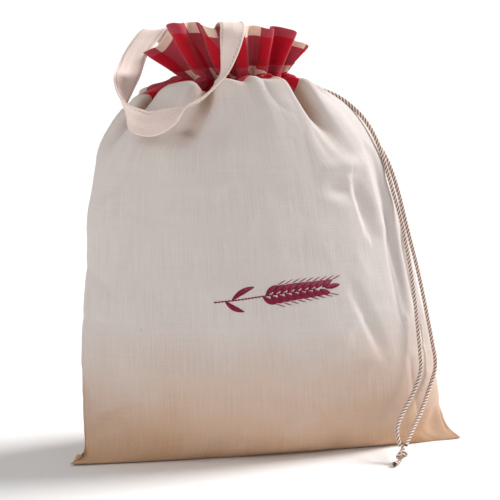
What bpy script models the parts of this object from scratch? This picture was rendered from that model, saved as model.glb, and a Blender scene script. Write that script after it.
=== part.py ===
"""A calico bread bag with a gathered check heading, a hanging loop and a drawstring.

The bag stands on the table, seen from the front: +X is its right side, +Y its back, +Z up.
The origin is on the table, under the middle of the bag. Sizes are in millimetres until a mesh is made.
"""

import math

import bpy
import numpy as np

MM = 0.001

CLOTH_THICKNESS = 1.2
TAPE_THICKNESS = 1.6
TAPE_WIDTH = 22.0
CORD_DIAMETER = 4.0

COLUMNS_AROUND = 128
COUNTED_PLACES = (6, 17)
CORD_SIDES = 8
LOOP_STEPS = 5

# The loft of the sack and its heading, one row for each section, from the table to the frill's rim.
RING_COLUMNS = (
    "height", "centre_x", "side_y", "half_width", "front_y", "back_y", "tip",
    "front_rise", "back_rise", "tilt", "fold_sink",
)
RINGS = (
    (0, 0, -28, 187, -35, 44, 1.6, 0, 0, 0, 0),
    (5, 0, -25, 181, -42, 50, 1.5, 0, 0, 0, 0),
    (14, 0, -19, 174, -49, 56, 1.35, 0, 0, 0, 0),
    (34, -1, -12, 171, -57, 63, 1.15, 0, 0, 0, 0),
    (62, -3, -6, 169, -63, 70, 1.05, 0, 0, 0, 0),
    (98, -5, -2, 166, -66, 73, 1.0, 0, 0, 0, 0),
    (140, -9, 0, 159, -66, 74, 1.0, 0, 0, 0, 0),
    (185, -12, 2, 152, -64, 73, 1.0, 0, 0, 0, 0),
    (230, -16, 3, 144, -61, 69, 1.0, 0, 0, 0, 5),
    (264, -19, 4, 136, -57, 65, 1.0, 1, 0, 0, 12),
    (288, -22, 5, 127, -55, 61, 1.0, 3, 1, 0, 20),
    (307, -24, 6, 115, -53, 59, 1.0, 6, 2, 0, 30),
    (321, -28, 6, 101, -51, 57, 1.0, 11, 4, 1, 38),
    (332, -34, 5, 87, -49, 54, 1.0, 18, 7, 3, 44),
    (340, -41, 4, 72, -43, 49, 1.0, 13, 7, 6, 52),
    (345, -36, 2, 60, -34, 39, 1.0, 4, 3, 4, 60),
    (349, -27, 1, 48, -24, 27, 1.0, 2, 2, 2, 28),
    (356, -29, 1, 56, -27, 30, 1.0, 4, 2, 2, 0),
    (362, -31, 1, 64, -29, 36, 1.0, 10, 3, 2, 0),
    (367, -33, 1, 71, -32, 42, 1.0, 17, 3, 2, 0),
    (371, -35, 1, 76, -35, 47, 1.0, 22, 1, 2, 0),
)
SEAM_RING = 14
NECK_RING = 16
RIM_RING = len(RINGS) - 1

# The creases between the folds, one row each, counted from the bag's left side through its front.
# Angles are in degrees. The widths are those of a crease's two walls, from its seam down to its foot.
CREASE_COLUMNS = (
    "neck_angle", "seam_angle", "foot_angle", "bend", "rim_depth", "neck_depth", "seam_depth",
    "foot_ring", "left_width", "right_width",
)
CREASES = (
    (30, 38, 8, 2, 15, 10, 18, 9.2, 18, 12),
    (60, 74, 60, 2, 18, 13, 18, 10.0, 17, 13),
    (84, 94, 92, 0, 16, 12, 10, 12.7, 14, 14),
    (106, 113, 112, 0, 15, 12, 10, 12.7, 14, 14),
    (127, 131, 134, -9, 16, 12, 19, 9.0, 12, 18),
    (153, 152, 148, 0, 15, 10, 12, 12.0, 13, 13),
    (187, 190, 194, 0, 14, 9, 12, 10.4, 14, 14),
    (214, 212, 210, 0, 16, 11, 16, 9.0, 14, 15),
    (240, 238, 238, 0, 17, 13, 10, 12.0, 13, 13),
    (264, 262, 256, 0, 19, 13, 17, 8.8, 14, 14),
    (289, 288, 292, 0, 17, 13, 11, 12.0, 13, 13),
    (315, 314, 318, 0, 16, 11, 16, 9.2, 15, 15),
    (344, 343, 342, 0, 14, 9, 11, 11.0, 14, 14),
)
# Where the frill's rim stands higher than its section says, one row each, with angles and widths in degrees.
RIM_LIFT_COLUMNS = ("angle", "lift", "width")
RIM_LIFTS = (
    (40, 11, 32),
    (66, 3, 16),
    (150, 3, 26),
)
PLEAT_ROUNDNESS = 0.7
FULL_DEPTH = 17.0

# Hollows and ridges of the filled sack, away from the gathers. A ridge has a depth below zero.
# The widths lie to the left and the right of a line from the start to the end.
DENT_COLUMNS = (
    "start_angle", "start_ring", "end_angle", "end_ring", "depth", "left_width", "right_width",
)
DENTS = (
    (62, 11.1, 61, 10.5, 7, 13, 13),
    (38, 10.7, 50, 10.5, 4, 10, 10),
    (120, 9.1, 139, 9.3, -4, 9, 8),
    (116, 8.7, 130, 8.4, 4, 14, 14),
    (132, 8.8, 133, 7.5, 5, 16, 7),
    (151, 9.5, 146, 5.8, 6, 9, 14),
    (163, 8.6, 160, 4.4, 5, 13, 13),
    (121, 6.4, 129, 4.9, 3, 14, 9),
    (4, 4.5, 17, 2.8, 4, 8, 14),
    (14, 2.7, 43, 3.7, 5, 13, 11),
    (150, 1.2, 168, 2.8, 4, 12, 12),
    (72, 1.2, 80, 3.2, 3, 22, 18),
    (108, 1.0, 114, 2.7, 3, 20, 20),
    (200, 9.3, 206, 5.4, 6, 14, 18),
    (236, 9.0, 228, 6.2, 5, 16, 16),
    (277, 9.2, 281, 6.4, 6, 16, 18),
    (309, 8.8, 319, 5.2, 6, 18, 14),
    (341, 5.0, 324, 2.8, 5, 14, 14),
    (221, 3.9, 203, 2.6, 5, 14, 14),
    (352, 9.2, 349, 5.0, 4, 14, 14),
    (262, 2.4, 282, 3.4, 4, 18, 18),
)


def named(columns, row):
    return dict(zip(columns, row))


def blend(low, high, share):
    return low + (high - low) * share


def smooth_step(value):
    value = np.clip(value, 0.0, 1.0)
    return value * value * (3 - 2 * value)


def hump(share):
    """1 at zero, falling smoothly to 0 at one."""
    return (1 + np.cos(np.pi * np.minimum(share, 1.0))) / 2


def turn_between(degrees, other):
    return (degrees - other + 180) % 360 - 180


def slope_at(table, index):
    """The slope of each column at a row, level where the column turns, so that no curve overshoots."""
    before = table[index] - table[max(index - 1, 0)]
    after = table[min(index + 1, len(table) - 1)] - table[index]
    return np.where(before * after > 0, (before + after) / 2, 0.0)


def table_at(table, place):
    """A table's columns at a place between its rows, on smooth curves through them."""
    index = min(int(place), len(table) - 2)
    share = place - index
    low, high = table[index], table[index + 1]
    from_slope = slope_at(table, index)
    to_slope = slope_at(table, index + 1)
    square, cube = share**2, share**3
    return (
        (2 * cube - 3 * square + 1) * low
        + (cube - 2 * square + share) * from_slope
        + (3 * square - 2 * cube) * high
        + (cube - square) * to_slope
    )


RING_TABLE = np.array(RINGS, float)


def ring_at(place):
    return named(RING_COLUMNS, table_at(RING_TABLE, place))


def rim_lift(angles, place):
    """How much higher the frill stands at some angles than its sections say."""
    lifted = 0 * angles
    for row in RIM_LIFTS:
        raised = named(RIM_LIFT_COLUMNS, row)
        lifted = lifted + raised["lift"] * hump(np.abs(turn_between(np.degrees(angles), raised["angle"])) / raised["width"])
    return lifted * smooth_step((place - NECK_RING) / (RIM_RING - NECK_RING))


def plain_ring(angles, place, inset=0.0, tip_inset=0.0):
    """The bag with no folds, at one place up it. Angle 0 is its left side and a quarter turn its front."""
    ring = ring_at(place)
    across, toward_front = np.cos(angles), np.sin(angles)
    deep_y = np.where(toward_front > 0, ring["front_y"] + inset, ring["back_y"] - inset)
    rise = np.where(toward_front > 0, ring["front_rise"], ring["back_rise"])
    return np.column_stack((
        ring["centre_x"] - (ring["half_width"] - inset - tip_inset) * across,
        blend(ring["side_y"], deep_y, np.abs(toward_front) ** ring["tip"]),
        ring["height"] + rise * (1 - across**4) - ring["tilt"] * across + rim_lift(angles, place),
    ))


def unit(vectors):
    return vectors / np.linalg.norm(vectors, axis=-1, keepdims=True)


def fold_frame(angles, place):
    """The directions around the bag, the ways in which a fold sinks, and the millimetres of a radian."""
    around = (plain_ring(angles + 0.02, place) - plain_ring(angles - 0.02, place)) / 0.04
    ring = ring_at(place)
    deep_y = np.where(np.sin(angles) > 0, ring["side_y"] - ring["front_y"], ring["back_y"] - ring["side_y"])
    inward = unit(np.column_stack((np.cos(angles) / ring["half_width"], np.sin(angles) / deep_y, 0 * angles)))
    sink = math.radians(ring["fold_sink"])
    return unit(around), inward * math.cos(sink) - np.array((0, 0, math.sin(sink))), np.linalg.norm(around, axis=1)


def neck_widths(index):
    """Half the way, in degrees, from a crease to each of its neighbours at the neck."""
    here = CREASES[index][0]
    before = CREASES[index - 1][0] - (360 if index == 0 else 0)
    after = CREASES[(index + 1) % len(CREASES)][0] + (360 if index == len(CREASES) - 1 else 0)
    return (here - before) / 2, (after - here) / 2


def crease_at(index, place, radius):
    """One crease's angle, its depth and its two widths in degrees at a place up the bag."""
    crease = named(CREASE_COLUMNS, CREASES[index])
    left_neck, right_neck = neck_widths(index)
    if place >= NECK_RING:
        share = smooth_step((place - NECK_RING) / (RIM_RING - NECK_RING))
        return crease["neck_angle"], blend(crease["neck_depth"], crease["rim_depth"], share), left_neck, right_neck
    left_width = np.degrees(crease["left_width"] / radius)
    right_width = np.degrees(crease["right_width"] / radius)
    if place >= SEAM_RING:
        share = smooth_step((place - SEAM_RING) / (NECK_RING - SEAM_RING))
        return (
            blend(crease["seam_angle"], crease["neck_angle"], share),
            blend(crease["seam_depth"], crease["neck_depth"], share),
            blend(left_width, left_neck, share),
            blend(right_width, right_neck, share),
        )
    share = max((place - crease["foot_ring"]) / (SEAM_RING - crease["foot_ring"]), 0.0)
    angle = blend(crease["foot_angle"], crease["seam_angle"], share) + crease["bend"] * 4 * share * (1 - share)
    return angle, crease["seam_depth"] * smooth_step(share * 1.15), left_width, right_width


def crease_shift(angles, place, radius):
    """How far the creases move each point inward and sideways."""
    inward, sideways = 0 * angles, 0 * angles
    for index in range(len(CREASES)):
        crease_angle, depth, left_width, right_width = crease_at(index, place, radius)
        if depth <= 0:
            continue
        offset = turn_between(np.degrees(angles), crease_angle)
        width = np.where(offset < 0, left_width, right_width)
        share = np.minimum(np.abs(offset) / width, 1.0)
        inward = inward + depth * hump(share)
        round_by = PLEAT_ROUNDNESS * min(depth / FULL_DEPTH, 1.0) ** 2 * np.radians(width) * radius / (2 * math.pi)
        sideways = sideways + np.sign(offset) * round_by * np.sin(2 * math.pi * share)
    return inward, sideways


def dent_shift(angles, place, radius):
    """How far the hollows and ridges away from the gathers move each point inward."""
    inward = 0 * angles
    for row in DENTS:
        dent = named(DENT_COLUMNS, row)
        rings = (place, dent["start_ring"], dent["end_ring"])
        if place >= SEAM_RING or not min(rings[1:]) - 1.5 < place < max(rings[1:]) + 1.5:
            continue
        up, start_up, end_up = (ring_at(ring)["height"] for ring in rings)
        start_across = np.radians(turn_between(dent["start_angle"], np.degrees(angles))) * radius
        end_across = start_across + math.radians(dent["end_angle"] - dent["start_angle"]) * radius
        start = np.column_stack((start_across, 0 * angles + start_up - up))
        line = np.column_stack((end_across - start_across, 0 * angles + end_up - start_up))
        length = np.linalg.norm(line, axis=1)
        line = unit(line)
        along = np.clip(-(start * line).sum(axis=1), 0.0, length)
        past = -start - line * along[:, None]
        side = line[:, 0] * past[:, 1] - line[:, 1] * past[:, 0]
        width = np.where(side > 0, dent["left_width"], dent["right_width"])
        middle = 0.35 + 0.65 * np.sin(np.pi * along / length)
        inward = inward + dent["depth"] * middle * hump(np.linalg.norm(past, axis=1) / width)
    return inward


def folded_ring(angles, place):
    """The bag's outer surface with its folds: each crease goes in, and its walls stand steep."""
    around, sink, radius = fold_frame(angles, place)
    inward, sideways = crease_shift(angles, place, radius)
    inward = inward + dent_shift(angles, place, radius)
    return plain_ring(angles, place) + sink * inward[:, None] + around * sideways[:, None]


def crease_angles(place):
    """The angle of every crease at one place up the bag, in radians, and the first once more at the end."""
    angles = [crease_at(index, place, 100.0)[0] for index in range(len(CREASES))]
    return np.radians([*angles, angles[0] + 360])


def lengths_between(start, end, place):
    """Angles between two creases and the length of folded cloth from the first of them to each."""
    angles = np.linspace(start, end, 60)
    steps = np.linalg.norm(np.diff(folded_ring(angles, place), axis=0), axis=1)
    return angles, np.concatenate(([0.0], np.cumsum(steps)))


def columns_between_creases(columns):
    """How many columns of the mesh lie between each crease and the next."""
    shares = []
    for place in COUNTED_PLACES:
        edges = crease_angles(place)
        lengths = np.array([lengths_between(start, end, place)[1][-1] for start, end in zip(edges, edges[1:])])
        shares.append(lengths / lengths.sum())
    ends = np.round(np.cumsum(np.mean(shares, axis=0)) * columns).astype(int)
    return np.diff(ends, prepend=0)


def even_angles(place, counts):
    """Angles for the mesh's columns: each crease keeps its column, and between them the cloth is parted evenly."""
    found = []
    edges = crease_angles(place)
    for start, end, count in zip(edges, edges[1:], counts):
        angles, lengths = lengths_between(start, end, place)
        found.append(np.interp(np.arange(count) * lengths[-1] / count, lengths, angles))
    return np.concatenate(found)


def folded_grid(places, columns):
    """The outer surface as rings of points for places up the bag, and the angles of each ring's points."""
    counts = columns_between_creases(columns)
    angles = np.array([even_angles(place, counts) for place in places])
    return np.array([folded_ring(ring_angles, place) for ring_angles, place in zip(angles, places)]), angles


def grid_normals(points):
    """The outward normals of rings of points, each the mean of the faces around it."""
    after = np.roll(points, -1, axis=1)
    low_face = np.cross(after[:-1] - points[:-1], after[1:] - points[:-1])
    high_face = np.cross(after[1:] - points[:-1], points[1:] - points[:-1])
    sums = np.zeros_like(points)
    sums[:-1] += unit(low_face) + unit(high_face)
    sums[1:] += unit(high_face) + np.roll(unit(low_face) + unit(high_face), 1, axis=1)
    sums[:-1] += np.roll(unit(low_face), 1, axis=1)
    return unit(sums)


def mesh_object(name, points, faces, finish):
    mesh = bpy.data.meshes.new(name)
    mesh.from_pydata([tuple(point * MM) for point in points], [], faces)
    mesh.validate()
    mesh.materials.append(finish)
    mesh.shade_smooth()
    made = bpy.data.objects.new(name, mesh)
    PARTS.objects.link(made)
    return made


def wrap_faces(low, high, count, turned):
    """Triangles between two rings of points that start at the indices low and high, all split the same way."""
    faces = []
    for column in range(count):
        after = (column + 1) % count
        pair = ((low + column, low + after, high + after), (low + column, high + after, high + column))
        faces += [face[::-1] if turned else face for face in pair]
    return faces


def shell_object(name, outer, inner, finish, closed_foot):
    """A thin wall between two stacks of rings, with its rim closed, and its foot either closed or open."""
    count = len(outer[0])
    points = [point for ring in (*outer, *inner) for point in ring]
    inner_start = count * len(outer)
    faces = []
    for row in range(len(outer) - 1):
        faces += wrap_faces(row * count, (row + 1) * count, count, False)
    for row in range(len(inner) - 1):
        faces += wrap_faces(inner_start + row * count, inner_start + (row + 1) * count, count, True)
    faces += wrap_faces((len(outer) - 1) * count, inner_start + (len(inner) - 1) * count, count, False)
    if closed_foot:
        faces.append(tuple(reversed(range(count))))
        faces.append(tuple(range(inner_start, inner_start + count)))
    else:
        faces += wrap_faces(0, inner_start, count, True)
    return mesh_object(name, points, faces, finish)


# The hanging loop's tape: its middle, and the way from its one edge to its other, which need not be square on.
LOOP_STATIONS = (
    ((-22, 58.2, 326), (1, -0.3, 0)),
    ((-22, 56.6, 340), (1, -0.3, 0)),
    ((-23, 55.0, 355), (1, -0.15, 0)),
    ((-26, 56.0, 368), (1, 0, 0)),
    ((-30, 49.0, 378), (1, 0, 0)),
    ((-34, 24.0, 384), (1, 0, 0)),
    ((-36, -6.0, 392), (1, 0, 0)),
    ((-37, -20.0, 396.3), (1, 0, 0)),
    ((-37.5, -34.0, 398.6), (1, 0, 0)),
    ((-38.5, -46.0, 396.0), (1, -0.1, 0)),
    ((-41, -53.5, 387), (0.82, -0.57, 0.08)),
    ((-44.5, -58.0, 372.5), (0.45, -0.88, 0.09)),
    ((-50.5, -61.0, 355), (0.03, -0.99, 0.14)),
    ((-66.6, -63.0, 338.5), (-0.1, -0.97, 0.21)),
    ((-83.4, -63.0, 329.4), (-0.1, -0.98, 0.12)),
    ((-98, -62.0, 320.5), (0.1, -0.75, -0.62)),
    ((-114, -58.5, 315), (0, -0.25, -0.96)),
    ((-126.2, -55.0, 318.6), (0.15, -0.1, -0.98)),
    ((-133.2, -45.5, 326.8), (0.32, 0.2, -0.93)),
    ((-134.5, -29.0, 336.0), (0.5, 0.45, -0.74)),
    ((-129.5, -9.5, 345.2), (0.85, 0.3, -0.42)),
    ((-122.0, 8.5, 353.5), (0.95, -0.05, -0.2)),
    ((-114.0, 25.0, 366.0), (0.95, -0.2, 0)),
    ((-103.5, 39.0, 377.0), (0.95, -0.2, 0.05)),
    ((-92.0, 50.0, 385.6), (0.98, -0.15, 0.1)),
    ((-81.5, 58.5, 383.2), (1, -0.1, 0.0)),
    ((-73.5, 61.5, 373.0), (1, 0, 0)),
    ((-65, 59.5, 357), (1, 0.1, 0.15)),
    ((-56, 57.3, 342), (1, 0.13, 0.15)),
    ((-51, 58.0, 328), (1, 0.13, 0.1)),
)

# The drawstring's two strands, from where they leave the gathers to the knot that joins them.
LEFT_STRAND_PATH = (
    (17.8, 3, 350.7), (24.1, 4.9, 347.1), (31.1, 6.6, 343.5), (39.1, 7.5, 339.6), (48.4, 7.9, 335.7),
    (59.2, 7.4, 331.7), (70.8, 5, 326.5), (81.8, 0.4, 318.5), (92.2, -5.3, 307.6), (100.5, -11.2, 293.4),
    (107, -16.4, 276.4), (112.2, -20.7, 257.4), (117.3, -24.9, 237.4), (122.5, -29, 217), (127, -32, 194),
    (131.5, -35, 167), (135, -38, 140), (137.5, -42, 110), (138.5, -45, 94), (138.5, -48, 76), (131, -53, 58),
    (119, -61, 42.5), (109.5, -71, 29), (109, -80.5, 15),
)
RIGHT_STRAND_PATH = (
    (9.1, 10.6, 350), (13.7, 15.9, 346.4), (19, 20.8, 342.4), (25.9, 22.9, 337.6), (34, 23.8, 332.6),
    (43.3, 24.9, 327.5), (53.6, 26, 322.5), (65.1, 27.2, 317.4), (77.4, 27.1, 312), (89.5, 24.1, 304.8),
    (100.4, 18.6, 295), (109.8, 12.2, 282.9), (117.8, 5.6, 268.5), (123.6, -0.5, 251.9), (128.2, -5.9, 233.5),
    (132.2, -10.3, 214), (136.5, -14.5, 194), (143.5, -16, 167), (149.5, -18, 140), (153.5, -21, 118),
    (156.5, -25.5, 98), (159, -30, 74), (149.5, -39.5, 53), (138.5, -53.5, 39), (127, -67, 28),
    (114.8, -81, 15.4),
)
KNOT_PATH = ((111.5, -82.0, 14.6), (110.5, -85.5, 7.6), (107, -88.5, 4.2), (103.5, -91.5, 3.0), (99.5, -94.5, 2.8))
KNOT_RADII = (4.2, 6.6, 3.3, 2.4, 2.6)


def smooth_path(points, steps):
    """Points on a smooth curve through the given ones, some steps from each to the next."""
    points = np.array(points, float)
    padded = np.vstack((2 * points[0] - points[1], points, 2 * points[-1] - points[-2]))
    found = []
    for index in range(1, len(padded) - 2):
        before, start, end, after = padded[index - 1:index + 3]
        for share in np.arange(steps) / steps:
            found.append(0.5 * (
                2 * start + (end - before) * share + (2 * before - 5 * start + 4 * end - after) * share**2
                + (3 * start - before - 3 * end + after) * share**3
            ))
    return np.array([*found, points[-1]])


def path_directions(points):
    return unit(np.gradient(points, axis=0))


def tube_rings(points, radii, sides):
    """Rings of points about a path, turned no more than the path itself turns."""
    forward = path_directions(points)
    side = unit(np.cross(forward[0], (0.3, 0.5, 0.8)))
    rings = []
    for point, direction, radius in zip(points, forward, radii):
        side = unit(side - direction * (side @ direction))
        other = np.cross(direction, side)
        turns = 2 * math.pi * np.arange(sides) / sides
        rings.append(point + radius * (np.outer(np.cos(turns), side) + np.outer(np.sin(turns), other)))
    return np.array(rings)


def tube_object(name, points, radii, sides, finish):
    rings = tube_rings(points, radii, sides)
    faces = []
    for row in range(len(rings) - 1):
        faces += wrap_faces(row * sides, (row + 1) * sides, sides, False)
    faces.append(tuple(reversed(range(sides))))
    faces.append(tuple(range((len(rings) - 1) * sides, len(rings) * sides)))
    return mesh_object(name, rings.reshape(-1, 3), faces, finish)


def tape_object(name, stations, width, thickness, finish):
    """A flat tape along a path, as one closed solid with a section of four corners."""
    middles = smooth_path([middle for middle, _ in stations], LOOP_STEPS)
    ribs = smooth_path([unit(np.array(rib, float)) for _, rib in stations], LOOP_STEPS)
    forward = path_directions(middles)
    ribs = unit(ribs - forward * (ribs * forward).sum(axis=1, keepdims=True))
    faced = np.cross(forward, ribs)
    corners = ((-1, -1), (1, -1), (1, 1), (-1, 1))
    rings = np.stack([middles + ribs * a * width / 2 + faced * b * thickness / 2 for a, b in corners], axis=1)
    faces = []
    for row in range(len(rings) - 1):
        faces += wrap_faces(row * 4, (row + 1) * 4, 4, False)
    faces.append((3, 2, 1, 0))
    faces.append(tuple(range((len(rings) - 1) * 4, len(rings) * 4)))
    return mesh_object(name, rings.reshape(-1, 3), faces, finish)


def finish_named(name, colour, roughness):
    made = bpy.data.materials.new(name)
    made.use_nodes = True
    shader = made.node_tree.nodes["Principled BSDF"]
    shader.inputs["Base Color"].default_value = (*colour, 1.0)
    shader.inputs["Roughness"].default_value = roughness
    shader.inputs["Metallic"].default_value = 0.0
    return made


for old in list(bpy.data.objects):
    bpy.data.objects.remove(old)
PARTS = bpy.data.collections.new("bread_bag")
bpy.context.scene.collection.children.link(PARTS)
CALICO = finish_named("calico", (0.72, 0.66, 0.58), 0.9)
CHECK = finish_named("check", (0.62, 0.03, 0.07), 0.85)
TAPE = finish_named("tape", (0.78, 0.70, 0.62), 0.88)
CORD = finish_named("cord", (0.68, 0.58, 0.48), 0.9)

SACK_PLACES = (0, 1, 2, 3, 4, 5, 6, 7, 8, 9, 9.7, 10.4, 11, 11.5, 12, 12.5, 13, 13.5, 13.9)
HEADING_PLACES = (14.1, 14.5, 15, 15.5, 16, 16.6, 17.4, 18.5, 20)
FLOOR_THICKNESS = 1.5
LOW_TOP_PLACE = 3
TIP_PULL = 12.0


def low_inner_ring(angles, place):
    """The inside of the sack near the table: a smaller section, so that the flat corners' walls stay apart."""
    around, sink, radius = fold_frame(angles, place)
    points = plain_ring(angles, place, CLOTH_THICKNESS, TIP_PULL * (1 - place / LOW_TOP_PLACE))
    points[:, 2] = np.maximum(points[:, 2], FLOOR_THICKNESS)
    return points + sink * dent_shift(angles, place, radius)[:, None]


def build_cloth():
    """The sack and its heading, whose walls meet at the seam with the same slope and a small gap."""
    outer, angles = folded_grid((*SACK_PLACES, *HEADING_PLACES), COLUMNS_AROUND)
    sack_rows = len(SACK_PLACES)
    inner = outer - grid_normals(outer) * CLOTH_THICKNESS
    for row, place in enumerate(SACK_PLACES):
        if place < LOW_TOP_PLACE:
            inner[row] = low_inner_ring(angles[row], place)
    shell_object("sack", outer[:sack_rows], inner[:sack_rows], CALICO, True)
    shell_object("check_heading", outer[sack_rows:], inner[sack_rows:], CHECK, False)


def build_strand(name, path):
    points = smooth_path(path, 2)
    return tube_object(name, points, [CORD_DIAMETER / 2] * len(points), CORD_SIDES, CORD)


def build_knot():
    points = smooth_path(KNOT_PATH, 4)
    radii = np.interp(np.linspace(0, len(KNOT_RADII) - 1, len(points)), range(len(KNOT_RADII)), KNOT_RADII)
    return tube_object("drawstring_knot", points, radii, 12, CORD)


build_cloth()
tape_object("hanging_loop", LOOP_STATIONS, TAPE_WIDTH, TAPE_THICKNESS, TAPE)
build_strand("drawstring_left", LEFT_STRAND_PATH)
build_strand("drawstring_right", RIGHT_STRAND_PATH)
build_knot()
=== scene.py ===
"""The looks of a standing calico bread bag: its cloth, check heading, tape loop, cord and embroidery.

Sizes are in millimetres until a mesh is made.
The sack and its heading use the same loft as the solids, more finely.
"""

import math

import bpy
import numpy as np
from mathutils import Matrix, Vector
from mathutils.bvhtree import BVHTree


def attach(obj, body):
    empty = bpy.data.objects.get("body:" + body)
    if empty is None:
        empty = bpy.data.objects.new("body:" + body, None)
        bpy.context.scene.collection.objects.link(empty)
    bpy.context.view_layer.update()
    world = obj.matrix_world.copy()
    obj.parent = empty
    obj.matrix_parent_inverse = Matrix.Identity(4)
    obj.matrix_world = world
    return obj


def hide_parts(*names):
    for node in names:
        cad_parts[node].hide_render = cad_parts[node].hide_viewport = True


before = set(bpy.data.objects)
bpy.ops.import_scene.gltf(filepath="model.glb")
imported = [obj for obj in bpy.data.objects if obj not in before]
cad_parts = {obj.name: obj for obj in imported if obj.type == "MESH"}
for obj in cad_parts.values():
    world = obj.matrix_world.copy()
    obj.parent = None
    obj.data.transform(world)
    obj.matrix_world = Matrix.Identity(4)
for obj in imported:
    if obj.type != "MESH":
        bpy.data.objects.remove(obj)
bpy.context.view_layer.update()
MM = 0.001

CLOTH_THICKNESS = 1.2
TAPE_THICKNESS = 1.6
TAPE_WIDTH = 22.0
TAPE_STEPS = 12
TAPE_COLUMNS = 15
CORD_DIAMETER = 4.0
WEAVE_PITCH = 0.8
COLUMNS_AROUND = 448
COUNTED_PLACES = (6, 17)
SAMPLES_BETWEEN_CREASES = 60
CLOTH_AROUND = 739.2

# The loft of the sack and its heading, one row for each section, from the table to the frill's rim.
RING_COLUMNS = (
    "height", "centre_x", "side_y", "half_width", "front_y", "back_y", "tip",
    "front_rise", "back_rise", "tilt", "fold_sink",
)
RINGS = (
    (0, 0, -28, 187, -35, 44, 1.6, 0, 0, 0, 0),
    (5, 0, -25, 181, -42, 50, 1.5, 0, 0, 0, 0),
    (14, 0, -19, 174, -49, 56, 1.35, 0, 0, 0, 0),
    (34, -1, -12, 171, -57, 63, 1.15, 0, 0, 0, 0),
    (62, -3, -6, 169, -63, 70, 1.05, 0, 0, 0, 0),
    (98, -5, -2, 166, -66, 73, 1.0, 0, 0, 0, 0),
    (140, -9, 0, 159, -66, 74, 1.0, 0, 0, 0, 0),
    (185, -12, 2, 152, -64, 73, 1.0, 0, 0, 0, 0),
    (230, -16, 3, 144, -61, 69, 1.0, 0, 0, 0, 5),
    (264, -19, 4, 136, -57, 65, 1.0, 1, 0, 0, 12),
    (288, -22, 5, 127, -55, 61, 1.0, 3, 1, 0, 20),
    (307, -24, 6, 115, -53, 59, 1.0, 6, 2, 0, 30),
    (321, -28, 6, 101, -51, 57, 1.0, 11, 4, 1, 38),
    (332, -34, 5, 87, -49, 54, 1.0, 18, 7, 3, 44),
    (340, -41, 4, 72, -43, 49, 1.0, 13, 7, 6, 52),
    (345, -36, 2, 60, -34, 39, 1.0, 4, 3, 4, 60),
    (349, -27, 1, 48, -24, 27, 1.0, 2, 2, 2, 28),
    (356, -29, 1, 56, -27, 30, 1.0, 4, 2, 2, 0),
    (362, -31, 1, 64, -29, 36, 1.0, 10, 3, 2, 0),
    (367, -33, 1, 71, -32, 42, 1.0, 17, 3, 2, 0),
    (371, -35, 1, 76, -35, 47, 1.0, 22, 1, 2, 0),
)

SEAM_RING = 14
NECK_RING = 16
RIM_RING = len(RINGS) - 1

# The creases between the folds, one row each, counted from the bag's left side through its front.
# Angles are in degrees. The widths are those of a crease's two walls, from its seam down to its foot.
CREASE_COLUMNS = (
    "neck_angle", "seam_angle", "foot_angle", "bend", "rim_depth", "neck_depth", "seam_depth",
    "foot_ring", "left_width", "right_width",
)
CREASES = (
    (30, 38, 8, 2, 15, 10, 18, 9.2, 18, 12),
    (60, 74, 60, 2, 18, 13, 18, 10.0, 17, 13),
    (84, 94, 92, 0, 16, 12, 10, 12.7, 14, 14),
    (106, 113, 112, 0, 15, 12, 10, 12.7, 14, 14),
    (127, 131, 134, -9, 16, 12, 19, 9.0, 12, 18),
    (153, 152, 148, 0, 15, 10, 12, 12.0, 13, 13),
    (187, 190, 194, 0, 14, 9, 12, 10.4, 14, 14),
    (214, 212, 210, 0, 16, 11, 16, 9.0, 14, 15),
    (240, 238, 238, 0, 17, 13, 10, 12.0, 13, 13),
    (264, 262, 256, 0, 19, 13, 17, 8.8, 14, 14),
    (289, 288, 292, 0, 17, 13, 11, 12.0, 13, 13),
    (315, 314, 318, 0, 16, 11, 16, 9.2, 15, 15),
    (344, 343, 342, 0, 14, 9, 11, 11.0, 14, 14),
)

# Where the frill's rim stands higher than its section says, one row each.
# Angles and widths are in degrees.
RIM_LIFT_COLUMNS = ("angle", "lift", "width")
RIM_LIFTS = (
    (40, 11, 32),
    (66, 3, 16),
    (150, 3, 26),
)

PLEAT_ROUNDNESS = 0.7
FULL_DEPTH = 17.0

# Hollows and ridges of the filled sack, away from the gathers. A ridge has a depth below zero.
# The widths lie to the left and the right of a line from the start to the end.
DENT_COLUMNS = (
    "start_angle", "start_ring", "end_angle", "end_ring", "depth", "left_width", "right_width",
)
DENTS = (
    (62, 11.1, 61, 10.5, 7, 13, 13),
    (38, 10.7, 50, 10.5, 4, 10, 10),
    (120, 9.1, 139, 9.3, -4, 9, 8),
    (116, 8.7, 130, 8.4, 4, 14, 14),
    (132, 8.8, 133, 7.5, 5, 16, 7),
    (151, 9.5, 146, 5.8, 6, 9, 14),
    (163, 8.6, 160, 4.4, 5, 13, 13),
    (121, 6.4, 129, 4.9, 3, 14, 9),
    (4, 4.5, 17, 2.8, 4, 8, 14),
    (14, 2.7, 43, 3.7, 5, 13, 11),
    (150, 1.2, 168, 2.8, 4, 12, 12),
    (72, 1.2, 80, 3.2, 3, 22, 18),
    (108, 1.0, 114, 2.7, 3, 20, 20),
    (200, 9.3, 206, 5.4, 6, 14, 18),
    (236, 9.0, 228, 6.2, 5, 16, 16),
    (277, 9.2, 281, 6.4, 6, 16, 18),
    (309, 8.8, 319, 5.2, 6, 18, 14),
    (341, 5.0, 324, 2.8, 5, 14, 14),
    (221, 3.9, 203, 2.6, 5, 14, 14),
    (352, 9.2, 349, 5.0, 4, 14, 14),
    (262, 2.4, 282, 3.4, 4, 18, 18),
)


def named(columns, row):
    return dict(zip(columns, row))


def blend(low, high, share):
    return low + (high - low) * share


def smooth_step(value):
    value = np.clip(value, 0.0, 1.0)
    return value * value * (3 - 2 * value)


def way_between(place, low, high):
    """How far a place lies from the lower to the higher one, from 0 to 1, with soft ends."""
    return smooth_step((place - low) / (high - low))


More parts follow.
